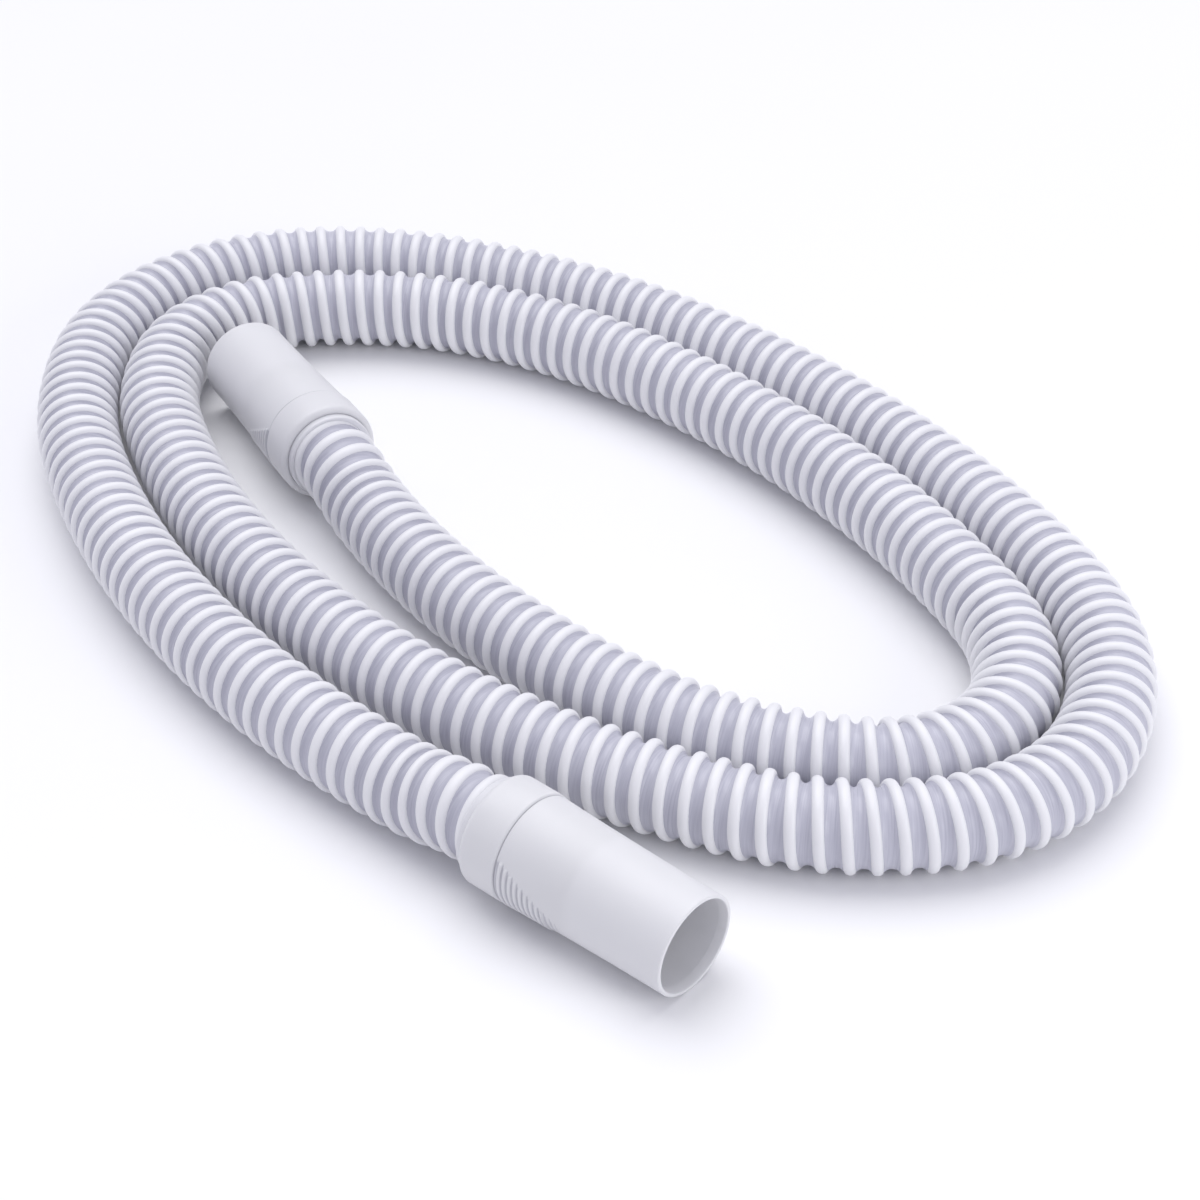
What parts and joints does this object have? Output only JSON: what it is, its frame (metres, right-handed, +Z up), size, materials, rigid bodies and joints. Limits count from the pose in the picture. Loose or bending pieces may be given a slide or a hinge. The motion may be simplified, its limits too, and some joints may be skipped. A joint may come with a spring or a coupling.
{
  "type": "vacuum hose",
  "caption": "Flexible spiral-ribbed suction hose lying in a loose flat coil, with a plain push-fit swivel cuff on each end",
  "frame": {"origin": "middle of the coil in plan, on the floor that it lies on", "axes": "+Z up; cuff A's mouth faces +X -Y and cuff B's mouth faces -X +Y; the coil is longest along Y"},
  "size_m": [0.5001, 0.5508, 0.0474],
  "materials": {
    "hose_film": "thin translucent film, lilac-grey, faint streaks",
    "hose_rib": "white satin half-round rib",
    "insert_plastic": "moulded satin",
    "seal_rubber": "moulded seal rubber",
    "cuff_plastic": "off-white satin soft plastic"
  },
  "bodies": {
    "hose": {"hose_wall": "hose_film", "hose_rib_1": "hose_rib", "hose_rib_2": "hose_rib", "hose_rib_3": "hose_rib", "insert_a": "insert_plastic", "seal_ring_a": "seal_rubber", "insert_b": "insert_plastic", "seal_ring_b": "seal_rubber"},
    "cuff_a": {"cuff_body_a": "cuff_plastic", "collar_a": "cuff_plastic"},
    "cuff_b": {"cuff_body_b": "cuff_plastic", "collar_b": "cuff_plastic"}
  },
  "joints": [
    {"name": "cuff_a_swivel", "type": "hinge", "parent": "hose", "child": "cuff_a", "pos_m": [-0.021, -0.196, 0.02398], "axis": [0.7601, -0.6492, -0.0283], "continuous": true},
    {"name": "cuff_b_swivel", "type": "hinge", "parent": "hose", "child": "cuff_b", "pos_m": [-0.10657, 0.0684, 0.02398], "axis": [-0.477, 0.8785, -0.0283], "continuous": true}
  ]
}
